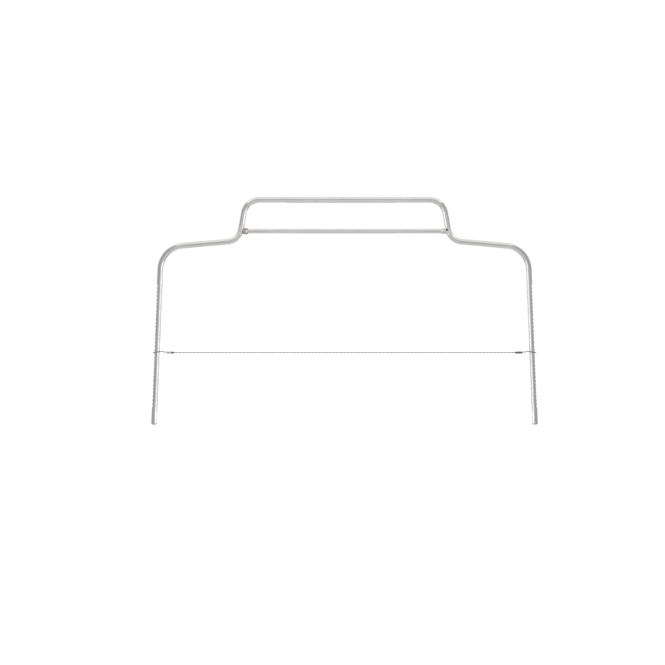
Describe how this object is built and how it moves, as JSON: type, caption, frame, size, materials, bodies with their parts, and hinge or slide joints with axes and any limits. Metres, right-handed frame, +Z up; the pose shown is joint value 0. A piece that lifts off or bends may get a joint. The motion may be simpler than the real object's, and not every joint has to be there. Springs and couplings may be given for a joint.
{
  "type": "cake leveler",
  "caption": "Wire cake leveler: a bent steel rod frame with notched legs, a handle bar and a taut twisted cutting wire set to height between the legs.",
  "frame": {"origin": "on the table plane, midway between the two feet", "axes": "+Z up towards the handle, +X along the width towards the right leg, +Y away from the viewer"},
  "size_m": [0.3304, 0.0076, 0.1946],
  "materials": {
    "polished_steel": "drawn and polished stainless rod",
    "weld_steel": "heat-browned weld bead",
    "wire_steel": "bright twisted wire",
    "ferrule_metal": "dull crimped sleeve"
  },
  "bodies": {
    "frame": {"frame_rod": "polished_steel", "crossbar": "polished_steel", "weld_left": "weld_steel", "weld_right": "weld_steel"},
    "wire": {"cutting_wire": "wire_steel", "ferrule_left": "ferrule_metal", "ferrule_right": "ferrule_metal"},
    "left_loop": {"loop_left": "wire_steel"},
    "right_loop": {"loop_right": "wire_steel"}
  },
  "joints": [
    {"name": "wire_height", "type": "slide", "parent": "frame", "child": "wire", "axis": [0, 0, 1], "range_m": [-0.04616, 0.05605]},
    {"name": "left_loop_slide", "type": "slide", "parent": "frame", "child": "left_loop", "axis": [0.0409, 0, 0.9992], "range_m": [-0.0462, 0.0561]},
    {"name": "right_loop_slide", "type": "slide", "parent": "frame", "child": "right_loop", "axis": [-0.0409, 0, 0.9992], "range_m": [-0.0462, 0.0561]}
  ],
  "couplings": [
    {"joint": "left_loop_slide", "follows": "wire_height", "ratio": 1.0008},
    {"joint": "right_loop_slide", "follows": "wire_height", "ratio": 1.0008}
  ]
}
